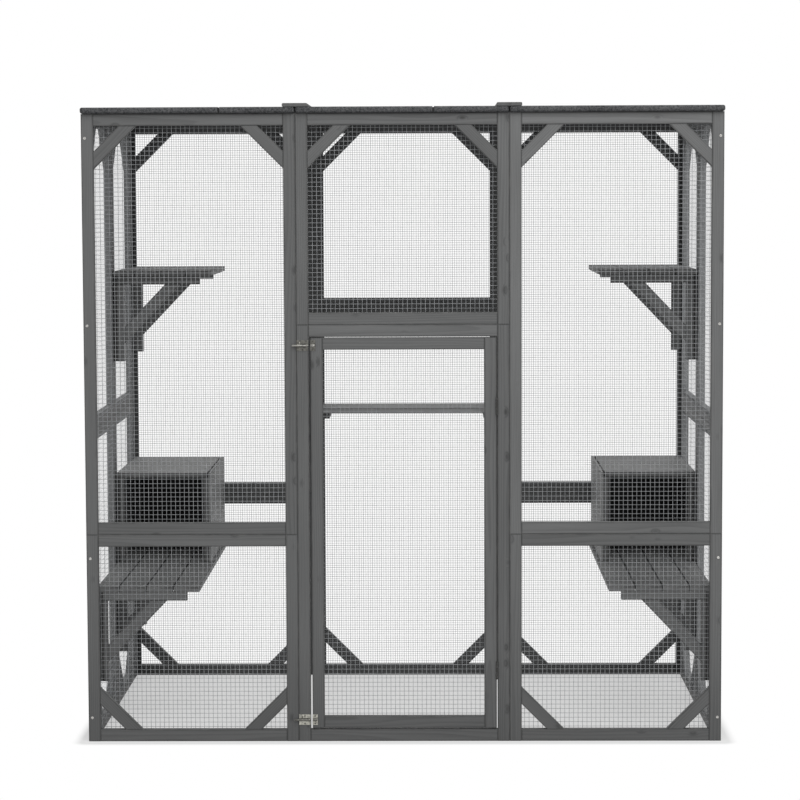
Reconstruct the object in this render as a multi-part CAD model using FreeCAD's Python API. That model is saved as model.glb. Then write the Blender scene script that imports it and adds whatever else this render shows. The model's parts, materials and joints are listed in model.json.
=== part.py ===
import FreeCAD, Part
import math
import os

# Outdoor cat enclosure: twenty timber panels with welded mesh, a mesh door on two butt hinges with
# two slide bolts, two shelves, two long platforms, two dens, a bridge plank and a felted roof.
# Millimetres, +X to the right, +Y to the back, +Z up. The origin is on the ground, at the middle
# of the footprint.

Vector = FreeCAD.Vector

# Panels and their timber
bay_width = 600.0
side_bay_depth = 500.0
short_panel_height = 593.0
tall_panel_height = 1187.0
timber_width = 34.0
timber_thickness = 21.0
brace_leg = 120.0

# Welded mesh, whose solid shows one strand in five as a flat strip
wire_diameter = 1.0
wire_pitch = 12.7
wires_per_strand = 5

# Door, butt hinges and slide bolts
door_side_gap = 4.0
door_end_gap = 5.0
hinge_height = 50.0
hinge_top_inset = 191.0
hinge_bottom_inset = 165.0
knuckle_count = 5
knuckle_gap = 0.4
knuckle_radius = 3.0
leaf_gap = 1.0
pin_radius = 1.5
pin_head_radius = 2.4
pin_head_height = 1.2
running_clearance = 0.05
latch_top_inset = 19.0
latch_bottom_inset = 23.0
latch_plate_height = 30.0
latch_plate_thickness = 1.2
latch_edge = 1.5
bolt_radius = 2.6
bolt_travel = 15.0
bolt_knob_radius = 2.0
bolt_knob_reach = 8.0
loop_length = 5.0
loop_wall = 1.3
keeper_loop_length = 12.0

# Screws
screw_head_radius = 4.0
screw_head_height = 1.6
screw_shank_radius = 2.0
corner_screw_length = 40.0
corner_screw_inset = 68.0
mid_screw_rise = 593.0
small_screw_head_radius = 2.2
small_screw_head_height = 1.2
small_screw_shank_radius = 1.2
small_screw_length = 14.0
small_screw_spread = 11.0
leaf_screw_inset = 8.0

# Shelves, platforms and their brackets
shelf_top = 1325.0
platform_top = 441.0
plank_width = 71.0
plank_thickness = 15.0
plank_gap = 3.0
plank_count = 4
deck_wall_gap = 2.0
shelf_front_overhang = 22.0
bracket_thickness = 18.0
arm_height = 25.0
arm_setback = 36.0
strut_reach = 170.0
strut_drop = 178.0
upright_tail = 54.0

# Dens
den_width = 286.0
den_depth = 497.0
den_height = 272.0
den_back_gap = 7.0
den_board = 8.0
den_top_board = 14.0
den_post = 16.0

# Bridge plank
bridge_top = 883.0
bridge_depth = 183.0
bridge_thickness = 12.5
bridge_back_gap = 8.0
cleat_width = 58.0
cleat_height = 16.0
cleat_setback = 12.0

# Roof
roof_overhang = 12.0
roof_side_overhang = 1.5
roof_joint_gap = 2.0
roof_board = 15.0
felt_thickness = 2.5
felt_corner_radius = 5.0
cap_width = 71.0
cap_thickness = 10.0

# Clearance between pieces that stand side by side
fit_gap = 0.5

# Overall sizes and faces
half_width = 1.5 * bay_width
half_depth = side_bay_depth + timber_thickness
frame_height = short_panel_height + tall_panel_height
side_panel_height = frame_height / 2
wall_face = half_width - timber_thickness
inner_depth = side_bay_depth

# Mesh sizes
mesh_thickness = 2 * wire_diameter
strand_width = 2 * wire_diameter
strand_pitch = wires_per_strand * wire_pitch
mesh_inset = max(timber_thickness, bracket_thickness) + mesh_thickness + 2 * fit_gap
mesh_face = wall_face - mesh_thickness
mesh_depth = inner_depth - mesh_thickness

# Door places
door_width = bay_width - 2 * timber_width - 2 * door_side_gap
door_bottom = timber_width + door_end_gap
door_height = tall_panel_height - 2 * door_bottom
door_top = door_bottom + door_height
door_edge = door_width / 2
post_edge = door_edge + door_side_gap

nodes = {}


def add(name, solids):
    """Put solids into a node, which is made at its first use."""
    nodes.setdefault(name, []).extend(solids)


def block(x_pair, y_pair, z_pair):
    """A box between two places on each axis, given in either order."""
    low = Vector(min(x_pair), min(y_pair), min(z_pair))
    high = Vector(max(x_pair), max(y_pair), max(z_pair))
    size = high - low
    return Part.makeBox(size.x, size.y, size.z, low)


def rod(start, end, radius):
    """A round bar from one point to another."""
    run = end - start
    return Part.makeCylinder(radius, run.Length, start, run)


def wall_point(wall, along, inward, height):
    """A point of a wall: along it, inward from its outer face, and above the ground."""
    if wall == "front":
        return Vector(along, inward - half_depth, height)
    if wall == "back":
        return Vector(along, half_depth - inward, height)
    if wall == "left":
        return Vector(inward - half_width, along, height)
    return Vector(half_width - inward, along, height)


def rectangle(along_pair, height_pair):
    """The four corners of a rectangle that lies in a wall."""
    near, far = along_pair
    bottom, top = height_pair
    return [(near, bottom), (far, bottom), (far, top), (near, top)]


def flat_piece(wall, outlines, inward_pair):
    """A flat piece in a wall: its first outline is the edge, and any others are holes in it."""
    near, far = inward_pair
    wires = []
    for points in outlines:
        corners = [wall_point(wall, along, near, height) for along, height in points]
        wires.append(Part.makePolygon(corners + corners[:1]))
    face = Part.makeFace(wires, "Part::FaceMakerBullseye")
    return face.extrude(wall_point(wall, 0, far, 0) - wall_point(wall, 0, near, 0))


def brace_outlines(inner_left, inner_right, edge, upward):
    """Two corner braces at 45 degrees, one in each corner of a panel's top or bottom rail."""
    short_leg = brace_leg - timber_width * math.sqrt(2)
    outlines = []
    for corner, inwards in ((inner_left, 1), (inner_right, -1)):
        outlines.append([
            (corner + inwards * short_leg, edge),
            (corner + inwards * brace_leg, edge),
            (corner, edge + upward * brace_leg),
            (corner, edge + upward * short_leg),
        ])
    return outlines


def panel_timbers(wall, middle, width, base, height, braced_end):
    """A panel's two stiles, its two rails between them, and the braces at its top or bottom."""
    left = middle - width / 2
    right = middle + width / 2
    top = base + height
    inner_left = left + timber_width
    inner_right = right - timber_width
    outlines = [
        rectangle((left, inner_left), (base, top)),
        rectangle((inner_right, right), (base, top)),
        rectangle((inner_left, inner_right), (base, base + timber_width)),
        rectangle((inner_left, inner_right), (top - timber_width, top)),
    ]
    if braced_end == "bottom":
        outlines += brace_outlines(inner_left, inner_right, base + timber_width, 1)
    if braced_end == "top":
        outlines += brace_outlines(inner_left, inner_right, top - timber_width, -1)
    return [flat_piece(wall, [points], (0, timber_thickness)) for points in outlines]


def net(wall, middle, width, base, height):
    """A panel's mesh on the inner face of its timbers: one sheet with a grid of square gaps."""
    left = middle - width / 2 + mesh_inset
    bottom = base + mesh_inset
    net_width = width - 2 * mesh_inset
    net_height = height - 2 * mesh_inset
    columns = round(net_width / strand_pitch)
    rows = round(net_height / strand_pitch)
    column_step = (net_width - strand_width) / columns
    row_step = (net_height - strand_width) / rows
    outlines = [rectangle((left, left + net_width), (bottom, bottom + net_height))]
    for column in range(columns):
        gap_left = left + strand_width + column * column_step
        gap_right = left + (column + 1) * column_step
        for row in range(rows):
            gap_bottom = bottom + strand_width + row * row_step
            gap_top = bottom + (row + 1) * row_step
            outlines.append(rectangle((gap_left, gap_right), (gap_bottom, gap_top)))
    return flat_piece(wall, outlines, (timber_thickness, timber_thickness + mesh_thickness))


# Front and back walls: three bays, each a lower and an upper panel
bay_middles = {"left": -bay_width, "centre": 0.0, "right": bay_width}
for wall in ("front", "back"):
    for bay, middle in bay_middles.items():
        lower_height = tall_panel_height if bay == "centre" else short_panel_height
        upper_height = frame_height - lower_height
        mesh_name = f"{wall}_{bay}_mesh"
        upper = panel_timbers(wall, middle, bay_width, lower_height, upper_height, "top")
        add(f"{wall}_{bay}_upper_frame", upper)
        add(mesh_name, [net(wall, middle, bay_width, lower_height, upper_height)])
        if wall == "front" and bay == "centre":
            add("front_door_surround", panel_timbers(wall, middle, bay_width, 0.0, lower_height, None))
        else:
            lower = panel_timbers(wall, middle, bay_width, 0.0, lower_height, "bottom")
            add(f"{wall}_{bay}_lower_frame", lower)
            add(mesh_name, [net(wall, middle, bay_width, 0.0, lower_height)])

# Side walls: two panels deep and two high, between the front and the back wall
for wall in ("left", "right"):
    for bay, middle in (("front", -side_bay_depth / 2), ("rear", side_bay_depth / 2)):
        for level, base, braced_end in (("lower", 0.0, "bottom"), ("upper", side_panel_height, "top")):
            timbers = panel_timbers(wall, middle, side_bay_depth, base, side_panel_height, braced_end)
            add(f"{wall}_{bay}_{level}_frame", timbers)
            add(f"{wall}_side_mesh", [net(wall, middle, side_bay_depth, base, side_panel_height)])

# Door: a plain ring of timber with mesh behind it, flush with the front wall
add("door_frame", panel_timbers("front", 0.0, door_width, door_bottom, door_height, None))
add("door_mesh", [net("front", 0.0, door_width, door_bottom, door_height)])

# Butt hinges: leaves in the gap beside the door, knuckles proud of the front face
hinge_x = door_edge + door_side_gap / 2
hinge_y = -half_depth - knuckle_radius
leaf_front = -half_depth + fit_gap
leaf_back = -half_depth + timber_thickness - fit_gap
knuckle_height = (hinge_height - (knuckle_count - 1) * knuckle_gap) / knuckle_count
hinge_middles = (door_top - hinge_top_inset, door_bottom + hinge_bottom_inset)


def leaf_screw_places(middle):
    """The two heights of a hinge leaf's screws."""
    reach = hinge_height / 2 - leaf_screw_inset
    return (middle - reach, middle + reach)


def hinge_leaf(middle, side, first_knuckle):
    """One leaf with every second knuckle of the hinge; side is 1 on the post and -1 on the door."""
    bottom = middle - hinge_height / 2
    inner = hinge_x + side * leaf_gap / 2
    outer = hinge_x + side * door_side_gap / 2
    leaf = block((inner, outer), (leaf_front, leaf_back), (bottom, bottom + hinge_height))
    for index in range(first_knuckle, knuckle_count, 2):
        low = bottom + index * (knuckle_height + knuckle_gap)
        high = low + knuckle_height
        tab = block((inner, outer), (hinge_y, leaf_front), (low, high))
        knuckle = rod(Vector(hinge_x, hinge_y, low), Vector(hinge_x, hinge_y, high), knuckle_radius)
        leaf = leaf.fuse([tab, knuckle])
    bore_start = Vector(hinge_x, hinge_y, bottom)
    bore_end = Vector(hinge_x, hinge_y, bottom + hinge_height)
    cutters = [rod(bore_start, bore_end, pin_radius + running_clearance)]
    screw_y = (leaf_front + leaf_back) / 2
    for height in leaf_screw_places(middle):
        hole_start = Vector(inner, screw_y, height)
        hole_end = Vector(outer, screw_y, height)
        cutters.append(rod(hole_start, hole_end, small_screw_shank_radius + running_clearance))
    return leaf.cut(cutters).removeSplitter()


def hinge_pin(middle):
    """The pin through the knuckles, with a head at each end that keeps it in."""
    bottom = middle - hinge_height / 2
    top = middle + hinge_height / 2
    low_head = bottom - knuckle_gap
    high_head = top + knuckle_gap
    shaft = rod(Vector(hinge_x, hinge_y, low_head), Vector(hinge_x, hinge_y, high_head), pin_radius)
    heads = []
    for start, end in ((low_head, low_head - pin_head_height), (high_head, high_head + pin_head_height)):
        heads.append(rod(Vector(hinge_x, hinge_y, start), Vector(hinge_x, hinge_y, end), pin_head_radius))
    return shaft.fuse(heads)


def leaf_screws(middle, side):
    """Countersunk screws, flush with a hinge leaf and driven into the timber behind it."""
    inner = hinge_x + side * leaf_gap / 2
    end = inner + side * small_screw_length
    screw_y = (leaf_front + leaf_back) / 2
    screws = []
    for height in leaf_screw_places(middle):
        seat = Vector(inner, screw_y, height)
        tip = Vector(end, screw_y, height)
        screws.append(rod(seat, tip, small_screw_shank_radius))
    return screws


for middle in hinge_middles:
    add("hinge_post_leaves", [hinge_leaf(middle, 1, 0)])
    add("hinge_door_leaves", [hinge_leaf(middle, -1, 1)])
    add("hinge_pins", [hinge_pin(middle)])
    add("frame_hardware_screws", leaf_screws(middle, 1))
    add("door_hardware_screws", leaf_screws(middle, -1))

# Slide bolts: a plate with two loops on the post, a bolt with a knob, and a keeper on the door.
# At rest the bolts are drawn back.
loop_radius = bolt_radius + running_clearance + loop_wall
plate_face = -half_depth - latch_plate_thickness
bolt_y = plate_face - loop_radius
loop_spacing = bolt_travel + 2 * bolt_knob_radius + 2 * fit_gap
body_right = -post_edge - fit_gap
front_loop = (body_right - latch_edge - loop_length, body_right - latch_edge)
rear_loop = (front_loop[0] - loop_spacing - loop_length, front_loop[0] - loop_spacing)
body_left = rear_loop[0] - latch_edge
keeper_left = -door_edge + fit_gap
keeper_loop = (keeper_left + latch_edge, keeper_left + latch_edge + keeper_loop_length)
keeper_right = keeper_loop[1] + latch_edge
latch_heights = {"top_bolt": door_top - latch_top_inset, "bottom_bolt": door_bottom + latch_bottom_inset}


def latch_plate(x_pair, loops, height):
    """A flat plate on the front face with loops for the bolt and two screw holes."""
    half_height = latch_plate_height / 2
    plate = block(x_pair, (-half_depth, plate_face), (height - half_height, height + half_height))
    holes = []
    for left, right in loops:
        foot = block((left, right), (plate_face, bolt_y), (height - loop_radius, height + loop_radius))
        barrel = rod(Vector(left, bolt_y, height), Vector(right, bolt_y, height), loop_radius)
        plate = plate.fuse([foot, barrel])
        bore = bolt_radius + running_clearance
        holes.append(rod(Vector(left, bolt_y, height), Vector(right, bolt_y, height), bore))
    middle = (x_pair[0] + x_pair[1]) / 2
    for offset in (-small_screw_spread, small_screw_spread):
        start = Vector(middle, -half_depth, height + offset)
        end = Vector(middle, plate_face, height + offset)
        holes.append(rod(start, end, small_screw_shank_radius + running_clearance))
    return plate.cut(holes).removeSplitter()


def sliding_bolt(height):
    """A round bolt with an upright knob that travels between the two loops."""
    tail = Vector(rear_loop[0] - bolt_travel, bolt_y, height)
    tip = Vector(body_right, bolt_y, height)
    knob_x = rear_loop[1] + fit_gap + bolt_knob_radius
    knob_start = Vector(knob_x, bolt_y, height)
    knob_end = Vector(knob_x, bolt_y, height + bolt_radius + bolt_knob_reach)
    return rod(tail, tip, bolt_radius).fuse(rod(knob_start, knob_end, bolt_knob_radius))


def plate_screws(x_pair, height):
    """Two pan-head screws that hold a latch plate to the timber behind it."""
    middle = (x_pair[0] + x_pair[1]) / 2
    screws = []
    for offset in (-small_screw_spread, small_screw_spread):
        seat = Vector(middle, plate_face, height + offset)
        top = seat - Vector(0, small_screw_head_height, 0)
        end = seat + Vector(0, small_screw_length, 0)
        head = rod(seat, top, small_screw_head_radius)
        screws.append(head.fuse(rod(seat, end, small_screw_shank_radius)))
    return screws


body_span = (body_left, body_right)
keeper_span = (keeper_left, keeper_right)
for bolt_name, height in latch_heights.items():
    add("latch_bodies", [latch_plate(body_span, (front_loop, rear_loop), height)])
    add("latch_keepers", [latch_plate(keeper_span, (keeper_loop,), height)])
    add(bolt_name, [sliding_bolt(height)])
    add("frame_hardware_screws", plate_screws(body_span, height))
    add("door_hardware_screws", plate_screws(keeper_span, height))

# Corner screws: through the front and back panels' outer stiles into the side walls
screw_x = half_width - timber_thickness / 2
screw_heights = (
    corner_screw_inset,
    short_panel_height - corner_screw_inset,
    short_panel_height + mid_screw_rise,
    frame_height - corner_screw_inset,
)
for wall in ("front", "back"):
    for along in (-screw_x, screw_x):
        for height in screw_heights:
            seat = wall_point(wall, along, 0, height)
            head = rod(seat, wall_point(wall, along, -screw_head_height, height), screw_head_radius)
            shank = rod(seat, wall_point(wall, along, corner_screw_length, height), screw_shank_radius)
            add("corner_screws", [head.fuse(shank)])

# Shelves and platforms: planks along Y on brackets, with the brackets on the posts of a side wall
deck_width = plank_count * plank_width + (plank_count - 1) * plank_gap
deck_outer = mesh_face - deck_wall_gap
deck_inner = deck_outer - deck_width
arm_end = deck_inner + arm_setback
back_end = mesh_depth - fit_gap
back_bracket = (back_end - bracket_thickness, back_end)
middle_bracket = (-bracket_thickness / 2, bracket_thickness / 2)
front_bracket = (-back_end, bracket_thickness - back_end)


def deck(side, y_pair, top):
    """Planks side by side along Y; side is -1 for the left wall and 1 for the right."""
    planks = []
    for index in range(plank_count):
        near = deck_inner + index * (plank_width + plank_gap)
        far = near + plank_width
        planks.append(block((side * near, side * far), y_pair, (top - plank_thickness, top)))
    return planks


def bracket(side, y_pair, top):
    """An arm under the planks, an upright on the post, and a strut between them."""
    arm_top = top - plank_thickness
    arm_bottom = arm_top - arm_height
    upright_face = wall_face - timber_width
    slope = math.atan2(strut_drop, strut_reach)
    inner_reach = strut_reach - timber_width / math.sin(slope)
    inner_drop = strut_drop - timber_width / math.cos(slope)
    arm = block((side * arm_end, side * wall_face), y_pair, (arm_bottom, arm_top))
    upright_bottom = arm_bottom - strut_drop - upright_tail
    upright = block((side * upright_face, side * wall_face), y_pair, (upright_bottom, arm_bottom))
    strut_points = [
        (upright_face - strut_reach, arm_bottom),
        (upright_face - inner_reach, arm_bottom),
        (upright_face, arm_bottom - inner_drop),
        (upright_face, arm_bottom - strut_drop),
    ]
    corners = [Vector(side * x, y_pair[0], z) for x, z in strut_points]
    strut_face = Part.Face(Part.makePolygon(corners + corners[:1]))
    strut = strut_face.extrude(Vector(0, y_pair[1] - y_pair[0], 0))
    return [arm, upright, strut]


def den(side):
    """A den on a platform's back half: sides, a top and a back, with a post in each corner."""
    outer = mesh_face - 2 * fit_gap
    inner = outer - den_width
    back = mesh_depth - den_back_gap
    front = back - den_depth
    top = platform_top + den_height
    under_top = top - den_top_board
    outer_side = outer - den_board
    inner_side = inner + den_board
    back_face = back - den_board
    level = (platform_top, under_top)
    full_level = (platform_top, top)
    boards = [
        block((side * outer_side, side * outer), (front, back), full_level),
        block((side * inner, side * inner_side), (front, back), full_level),
        block((side * inner_side, side * outer_side), (front, back), (under_top, top)),
        block((side * inner_side, side * outer_side), (back_face, back), level),
    ]
    for x_pair in ((inner_side, inner_side + den_post), (outer_side - den_post, outer_side)):
        post_x = (side * x_pair[0], side * x_pair[1])
        boards.append(block(post_x, (front, front + den_post), level))
        boards.append(block(post_x, (back_face - den_post, back_face), level))
    return boards


for wall, side in (("left", -1), ("right", 1)):
    shelf_span = (middle_bracket[0] - shelf_front_overhang, back_end)
    add(f"{wall}_shelf_deck", deck(side, shelf_span, shelf_top))
    for y_pair in (middle_bracket, back_bracket):
        add(f"{wall}_shelf_brackets", bracket(side, y_pair, shelf_top))
    add(f"{wall}_platform_deck", deck(side, (-back_end, back_end), platform_top))
    for y_pair in (front_bracket, middle_bracket, back_bracket):
        add(f"{wall}_platform_brackets", bracket(side, y_pair, platform_top))
    add(f"{wall}_den", den(side))

# Bridge plank: across the middle bay at the back, on two cleats that run to the back posts
bridge_half = bay_width / 2
bridge_back = mesh_depth - bridge_back_gap
bridge_front = bridge_back - bridge_depth
bridge_under = bridge_top - bridge_thickness
bridge_level = (bridge_under, bridge_top)
add("bridge_plank", [block((-bridge_half, bridge_half), (bridge_front, bridge_back), bridge_level)])
for side in (-1, 1):
    cleat_x = (side * (bridge_half - cleat_width), side * bridge_half)
    cleat_y = (bridge_front + cleat_setback, mesh_depth)
    add("bridge_cleats", [block(cleat_x, cleat_y, (bridge_under - cleat_height, bridge_under))])

# Roof: a board over each bay, felt over its top and edges, and a cap over each joint
roof_top = frame_height + roof_board + felt_thickness
roof_reach = half_depth + roof_overhang
roof_side = half_width + roof_side_overhang
joint_edge = bay_width / 2 + roof_joint_gap / 2
roof_spans = {
    "left": (-roof_side, -joint_edge),
    "centre": (roof_joint_gap - joint_edge, joint_edge - roof_joint_gap),
    "right": (joint_edge, roof_side),
}


def on_top_or_corner(edge):
    """True for a covering's top edges and upright corner edges."""
    return edge.BoundBox.ZMax > roof_top - felt_thickness


for bay, (left, right) in roof_spans.items():
    inset_x = (left + felt_thickness, right - felt_thickness)
    inset_y = (felt_thickness - roof_reach, roof_reach - felt_thickness)
    board = block(inset_x, inset_y, (frame_height, frame_height + roof_board))
    covering = block((left, right), (-roof_reach, roof_reach), (frame_height, roof_top))
    outer_edges = [edge for edge in covering.Edges if on_top_or_corner(edge)]
    add(f"roof_{bay}_board", [board])
    add(f"roof_{bay}_felt", [covering.makeFillet(felt_corner_radius, outer_edges).cut(board)])

for middle in (-bay_width / 2, bay_width / 2):
    cap_x = (middle - cap_width / 2, middle + cap_width / 2)
    add("roof_caps", [block(cap_x, (-roof_reach, roof_reach), (roof_top, roof_top + cap_thickness))])

os.makedirs("parts", exist_ok=True)
for name, solids in nodes.items():
    Part.makeCompound(solids).exportStep(f"parts/{name}.step")
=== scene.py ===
import json
import math

import bpy
import numpy as np
from mathutils import Matrix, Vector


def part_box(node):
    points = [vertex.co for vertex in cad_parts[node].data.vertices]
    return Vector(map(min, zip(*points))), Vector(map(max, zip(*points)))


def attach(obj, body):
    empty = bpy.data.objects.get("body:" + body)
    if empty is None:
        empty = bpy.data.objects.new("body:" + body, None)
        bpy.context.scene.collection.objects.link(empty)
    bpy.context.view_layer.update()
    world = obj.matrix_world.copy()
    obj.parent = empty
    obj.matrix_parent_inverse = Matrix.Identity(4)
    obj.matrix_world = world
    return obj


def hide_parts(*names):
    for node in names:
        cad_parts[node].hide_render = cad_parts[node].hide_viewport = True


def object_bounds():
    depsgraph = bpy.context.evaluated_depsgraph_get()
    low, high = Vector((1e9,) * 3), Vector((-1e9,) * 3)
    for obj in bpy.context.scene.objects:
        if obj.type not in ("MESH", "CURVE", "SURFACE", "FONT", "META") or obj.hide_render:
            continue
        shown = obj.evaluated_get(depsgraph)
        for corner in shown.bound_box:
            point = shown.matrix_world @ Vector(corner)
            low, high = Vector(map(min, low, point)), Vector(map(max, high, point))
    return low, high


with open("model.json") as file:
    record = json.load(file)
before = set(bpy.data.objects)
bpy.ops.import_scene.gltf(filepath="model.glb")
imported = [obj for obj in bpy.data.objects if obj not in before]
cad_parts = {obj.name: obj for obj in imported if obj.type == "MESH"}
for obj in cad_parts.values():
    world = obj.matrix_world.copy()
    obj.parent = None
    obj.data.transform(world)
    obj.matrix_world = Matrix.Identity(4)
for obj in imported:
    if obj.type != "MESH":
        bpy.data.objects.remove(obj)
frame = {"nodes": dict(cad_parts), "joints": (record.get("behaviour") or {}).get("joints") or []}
cad_low, cad_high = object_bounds()

# Wall panels and the door's frame
# Rings of planed softwood battens under a dark grey stain: two stiles, two rails between them and, in most
# panels, two corner braces cut at 45 degrees. The joints are butted, glued and screwed from the edge.
batten_width = 0.034
brace_leg = 0.120
arris = 0.0016
end_bevel = 0.0005
arris_shade = 0.003
joint_shade = 0.0028
# On small boards these four stay below a share of the thin side, the rounding, the flat and the length.
rounding_share = 0.3
bevel_share = 0.6
shade_share = 0.4
joint_share = 0.2
corner_turns = np.radians([0, 0, 30, 60, 90, 90])
corner_slides = np.array([-1, 0, 0, 0, 0, 1])
log_random = np.random.default_rng(41)
log_length = 40.0
pith_sideways = 0.05
pith_depths = (0.012, 0.06)
tone_spread = 0.05
smooth_angle = math.radians(40)
up = np.array([0.0, 0.0, 1.0])


def tubes(points, layers=None):
    """Closed tubes from their points, which are given by tube, ring and place on the ring.

    A quad joins neighbouring points of neighbouring rings, and one face closes each end ring, turned round at
    the first one so that it points outwards.
    """
    count, rings, ring_points = points.shape[:3]
    ring = np.arange(ring_points)
    step = np.roll(ring, -1)
    low = np.arange(rings - 1)[:, None] * ring_points
    quads = np.stack([low + ring, low + step, low + step + ring_points, low + ring + ring_points], axis=-1)
    ends = np.stack([ring[::-1], ring + (rings - 1) * ring_points])
    first = np.arange(count)[:, None, None] * rings * ring_points
    faces = [(first + quads.reshape(-1, 4)).reshape(-1, 4), (first + ends).reshape(-1, ring_points)]
    return {"points": points.reshape(-1, 3), "faces": faces, "layers": layers or {}}


def corner_ring(turns):
    """The ring of a rounded rectangle, whose four corners have these turns: the turn of each of its points,
    and the way from the middle to that point's corner on both axes."""
    quarter = np.repeat(np.arange(4), len(turns)) * math.pi / 2
    diagonal = quarter + math.pi / 4
    return quarter + np.tile(turns, 4), np.sign(np.cos(diagonal)), np.sign(np.sin(diagonal))


def board(start, end, across, width, thickness, cuts=(None, None), rounding=arris, tone=1.0, end_painted_shade=1.0,
          shade_width=arris_shade):
    """A straight board: a rectangle with rounded corners carried along the line from start to end.

    Each corner is a quarter circle about a point one rounding in from both faces, with one more point beside
    it on either face. The first and last ring are drawn in by the end's bevel. An end lies in the plane whose
    normal is its cut, so a point moves along by minus its distance across times the slope of that plane. The
    layers are a point's place in the log, its nearness to an arris, the painted shade of an end near it, and
    the board's own tone.
    """
    start = np.asarray(start, float)
    across = np.asarray(across, float)
    run = np.asarray(end, float) - start
    length = np.linalg.norm(run)
    along = run / length
    depth = np.cross(along, across)
    thin = min(width, thickness)
    rounding = min(rounding, rounding_share * thin)
    bevel = min(end_bevel, bevel_share * rounding)
    shade = min(shade_width, shade_share * (thin - 2 * rounding))
    seam = bevel + min(joint_shade, joint_share * length)
    turn, way_u, way_v = corner_ring(corner_turns)
    beside = np.tile(corner_slides, 4)
    radius = rounding - bevel * np.array([1, 0, 0, 0, 0, 1])[:, None]
    u = way_u * (width / 2 - rounding) + radius * np.cos(turn) - beside * shade * np.sin(turn)
    v = way_v * (thickness / 2 - rounding) + radius * np.sin(turn) + beside * shade * np.cos(turn)
    s = np.array([0, bevel, seam, length - seam, length - bevel, length])[:, None] + 0 * u
    for rings, cut in ((slice(0, 3), cuts[0]), (slice(3, 6), cuts[1])):
        if cut is not None:
            s[rings] -= u[rings] * np.dot(across, cut) / np.dot(along, cut)
    points = start + s[..., None] * along + u[..., None] * across + v[..., None] * depth
    pith = np.array([log_random.uniform(0, log_length), log_random.uniform(-pith_sideways, pith_sideways),
                     log_random.uniform(*pith_depths)])
    near = (beside == 0) + 0 * u
    end_shade_layer = end_painted_shade * np.array([1, 1, 0, 0, 1, 1])[:, None] + 0 * u
    own_tone = tone * log_random.normal(1.0, tone_spread)
    layers = {"grain": np.stack([s, u, v], axis=-1).reshape(-1, 3) + pith, "arris": near.ravel(),
              "joint": end_shade_layer.ravel(), "tone": np.full(u.size, own_tone)}
    return tubes(points[None], layers)


def join(shapes):
    """Several shapes as one: their points and layers in a row, with each shape's faces counted on from the
    points of those before it."""
    firsts = np.cumsum([0] + [len(shape["points"]) for shape in shapes])
    layer_names = shapes[0]["layers"]
    return {
        "points": np.concatenate([shape["points"] for shape in shapes]),
        "faces": [block + first for shape, first in zip(shapes, firsts) for block in shape["faces"]],
        "layers": {key: np.concatenate([shape["layers"][key] for shape in shapes]) for key in layer_names},
    }


def to_scene(name, data):
    """A new object with this data, in the scene."""
    made = bpy.data.objects.new(name, data)
    bpy.context.scene.collection.objects.link(made)
    return made


def put(name, shape, material, body, node):
    """Makes a shape a piece that rides on a body and stands for a CAD node. Edges sharper than the smooth
    angle stay sharp."""
    mesh = bpy.data.meshes.new(name)
    faces = [face for block in shape["faces"] for face in block.tolist()]
    mesh.from_pydata(shape["points"].tolist(), [], faces)
    for key, values in shape["layers"].items():
        kind, field = ("FLOAT_VECTOR", "vector") if values.ndim == 2 else ("FLOAT", "value")
        layer = mesh.attributes.new(key, kind, "POINT")
        layer.data.foreach_set(field, values.astype(np.float32).ravel())
    mesh.shade_smooth()
    mesh.set_sharp_from_angle(angle=smooth_angle)
    mesh.materials.append(material)
    piece = to_scene(name, mesh)
    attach(piece, body)
    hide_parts(node)


def feed(node, sockets):
    """Gives a shader node's inputs their values: a link where the value is an output, and else a constant."""
    for key, value in sockets.items():
        if isinstance(value, bpy.types.NodeSocket):
            node.id_data.links.new(value, node.inputs[key])
        else:
            node.inputs[key].default_value = value
    return node


def add(tree, kind, sockets=None, **settings):
    """A new shader node with its settings and its inputs' values."""
    made = tree.nodes.new(kind)
    for key, value in settings.items():
        setattr(made, key, value)
    return feed(made, sockets or {})


def calc(operation, *values):
    """The result of one sum on these values, in the tree of the first output among them."""
    tree = next(value for value in values if isinstance(value, bpy.types.NodeSocket)).id_data
    return add(tree, "ShaderNodeMath", dict(enumerate(values)), operation=operation).outputs[0]


def ease(value, low, high):
    """0 below low and 1 above high with a smooth step between them, and the other way round where low is
    larger."""
    sockets = {"Value": value, "From Min": low, "From Max": high}
    return add(value.id_data, "ShaderNodeMapRange", sockets, interpolation_type="SMOOTHSTEP").outputs[0]


def times(place, factor):
    """A place or a colour times a factor, which is one number, or a row of three for its three parts."""
    each = isinstance(factor, tuple)
    sockets = {0: place, 1 if each else "Scale": factor}
    operation = "MULTIPLY" if each else "SCALE"
    return add(place.id_data, "ShaderNodeVectorMath", sockets, operation=operation).outputs[0]


def noise(place, scale=1.0, detail=2.0):
    """Noise of so many cells to each unit of the place."""
    sockets = {"Vector": place, "Scale": scale, "Detail": detail}
    return add(place.id_data, "ShaderNodeTexNoise", sockets).outputs["Fac"]


def mix(share, first, second):
    """A colour between two, by the second one's share."""
    return add(share.id_data, "ShaderNodeMix", {0: share, 6: first, 7: second}, data_type="RGBA").outputs[2]


def object_place(tree):
    """Each point's place in metres."""
    return add(tree, "ShaderNodeTexCoord").outputs["Object"]


def new_group(name, given, results):
    """An empty shader node group with these inputs and outputs: the group, its inputs and its last node."""
    group = bpy.data.node_groups.new(name, "ShaderNodeTree")
    for way, sockets in (("INPUT", given), ("OUTPUT", results)):
        for socket, kind in sockets.items():
            group.interface.new_socket(socket, in_out=way, socket_type="NodeSocket" + kind)
    return group, add(group, "NodeGroupInput").outputs, add(group, "NodeGroupOutput")


def new_material(name):
    """A new material, its node tree and its shader."""
    material = bpy.data.materials.new(name)
    material.use_nodes = True
    return material, material.node_tree, material.node_tree.nodes["Principled BSDF"]
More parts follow.
